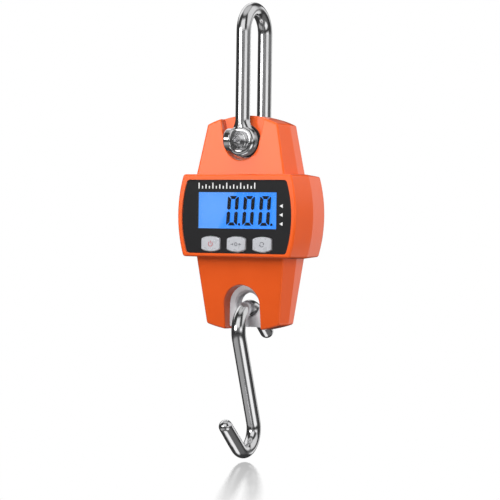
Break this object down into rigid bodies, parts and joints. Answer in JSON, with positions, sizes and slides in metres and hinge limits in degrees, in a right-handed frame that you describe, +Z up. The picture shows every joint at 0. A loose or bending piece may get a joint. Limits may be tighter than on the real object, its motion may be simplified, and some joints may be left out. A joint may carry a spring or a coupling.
{
  "type": "crane scale",
  "caption": "Small hanging crane scale: a long shackle carries a die-cast body with a digital display and keys, and an S-hook hangs from its load cell.",
  "frame": {"origin": "inside of the shackle's crown, where whatever carries the scale bears", "axes": "+Z up the shackle, display facing -Y, +X to the right as the display is read"},
  "size_m": [0.0836, 0.063, 0.2859],
  "materials": {
    "shackle_steel": "polished nickel-chrome plate on forged steel",
    "hook_steel": "polished nickel-chrome plate on bent round bar",
    "body_paint": "semi-gloss orange enamel on die-cast alloy",
    "cell_alloy": "machined and brushed",
    "panel_black": "gloss black moulding",
    "clear_window": "clear acrylic window",
    "display_glass": "display glass",
    "display_light": "blue edge-lit light guide",
    "white_plastic": "moulded white plastic",
    "key_silver": "silver-white painted key",
    "black_plastic": "fine textured black plastic",
    "nylon_black": "black nylon",
    "silicone": "white potting silicone",
    "carbon_rubber": "conductive strip",
    "circuit_green": "green solder mask",
    "chip_black": "moulded epoxy",
    "capacitor_can": "bright can",
    "gauge_foil": "foil gauge on amber film",
    "screw_zinc": "zinc-plated screw",
    "contact_steel": "nickel-plated spring steel",
    "battery_jacket": "shrink sleeve",
    "lead_red": "PVC insulation",
    "lead_black": "PVC insulation"
  },
  "bodies": {
    "shackle": {"shackle": "shackle_steel", "shackle_pin": "shackle_steel"},
    "scale_body": {"front_shell": "body_paint", "rear_shell": "body_paint", "case_screws": "screw_zinc", "load_cell": "cell_alloy", "strain_gauges": "gauge_foil", "gauge_potting": "silicone", "gauge_cable": "white_plastic", "pin_spacer_front": "nylon_black", "pin_spacer_rear": "nylon_black", "cell_screws": "screw_zinc", "face_panel": "panel_black", "lcd_window": "clear_window", "lcd_front_glass": "display_glass", "lcd_rear_glass": "display_glass", "lcd_backlight": "display_light", "lcd_holder": "white_plastic", "lcd_connector": "carbon_rubber", "tact_switches": "black_plastic", "main_pcb": "circuit_green", "pcb_chips": "chip_black", "pcb_capacitors": "capacitor_can", "pcb_crystal": "capacitor_can", "pcb_sockets": "white_plastic", "pcb_screws": "screw_zinc", "battery_tray": "black_plastic", "battery_contacts": "contact_steel", "battery_tray_screws": "screw_zinc", "battery_lead_red": "lead_red", "battery_lead_black": "lead_black", "battery_cell_1": "battery_jacket", "battery_cell_2": "battery_jacket", "battery_cell_3": "battery_jacket"},
    "hook": {"hook": "hook_steel"},
    "power_button": {"key_power": "key_silver", "plunger_power": "black_plastic"},
    "tare_button": {"key_tare": "key_silver", "plunger_tare": "black_plastic"},
    "unit_button": {"key_unit": "key_silver", "plunger_unit": "black_plastic"},
    "door": {"battery_door": "black_plastic", "door_screw": "screw_zinc"}
  },
  "joints": [
    {"name": "body_swing", "type": "hinge", "parent": "shackle", "child": "scale_body", "pos_m": [0, 0, -0.0784], "axis": [0, 1, 0], "range_deg": [-33, 33]},
    {"name": "hook_swing", "type": "hinge", "parent": "scale_body", "child": "hook", "pos_m": [0, -0.002, -0.1822], "axis": [0, 1, 0], "range_deg": [-30, 30]},
    {"name": "power_press", "type": "slide", "parent": "scale_body", "child": "power_button", "axis": [0, 1, 0], "range_m": [0, 0.0008], "stiffness_N_per_m": 400, "springref_m": -0.0004},
    {"name": "tare_press", "type": "slide", "parent": "scale_body", "child": "tare_button", "axis": [0, 1, 0], "range_m": [0, 0.0008], "stiffness_N_per_m": 400, "springref_m": -0.0004},
    {"name": "unit_press", "type": "slide", "parent": "scale_body", "child": "unit_button", "axis": [0, 1, 0], "range_m": [0, 0.0008], "stiffness_N_per_m": 400, "springref_m": -0.0004},
    {"name": "door_lift", "type": "slide", "parent": "scale_body", "child": "door", "axis": [0, 1, 0], "range_m": [0, 0.025]}
  ]
}
